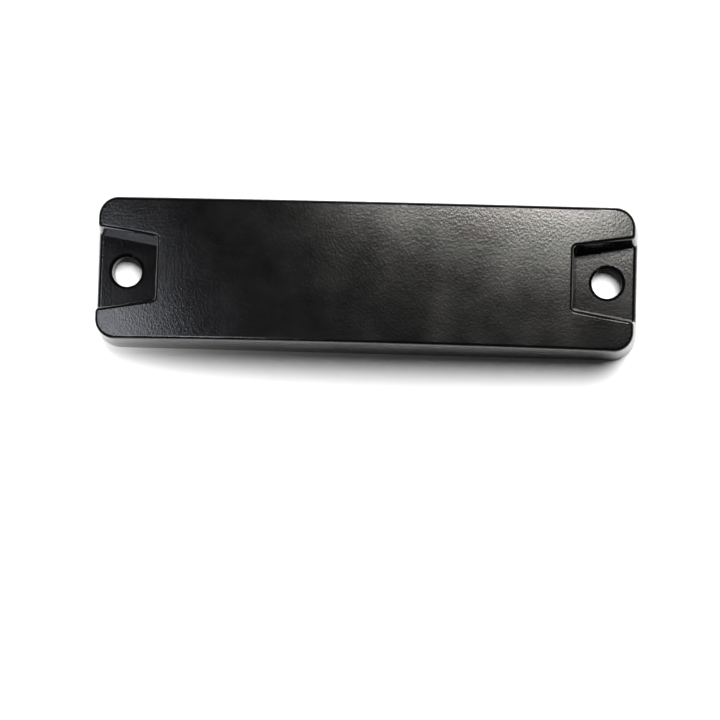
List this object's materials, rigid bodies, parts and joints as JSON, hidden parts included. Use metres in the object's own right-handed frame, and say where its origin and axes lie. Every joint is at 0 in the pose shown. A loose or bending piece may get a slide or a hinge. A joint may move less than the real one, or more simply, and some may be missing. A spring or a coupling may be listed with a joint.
{
  "type": "on-metal radio identification tag",
  "caption": "Slim screw-down identification tag: moulded housing with an arched roof and recessed screw ears, closed by a base plate over a shorted-patch antenna board with its chip.",
  "frame": {"origin": "middle of the flat mounting face, on its plane", "axes": "+X along the tag through both screw holes, +Y across it, +Z out of the mounting face towards the arched roof"},
  "size_m": [0.09, 0.0248, 0.011],
  "materials": {
    "housing_abs": "fine spark-eroded texture",
    "plate_abs": "fine spark-eroded texture",
    "sealant": "cured, satin",
    "tape": "translucent film",
    "solder_mask": "gloss lacquer",
    "copper": "etched foil",
    "laminate": "woven glass epoxy",
    "plated_copper": "gold-flashed",
    "die_glue": "cured",
    "silicon": "polished",
    "bond_gold": "drawn",
    "potting": "flowed, glossy",
    "foam": "closed-cell foam"
  },
  "bodies": {
    "root": {"housing": "housing_abs", "base_plate": "plate_abs", "perimeter_seal": "sealant", "board_tape": "tape", "bottom_solder_mask": "solder_mask", "ground_plane": "copper", "antenna_board": "laminate", "left_via_barrels": "plated_copper", "right_via_barrels": "plated_copper", "left_radiator": "copper", "right_radiator": "copper", "top_solder_mask": "solder_mask", "die_attach": "die_glue", "radio_chip": "silicon", "bond_wires": "bond_gold", "chip_dome": "potting", "foam_pad": "foam"}
  },
  "joints": []
}
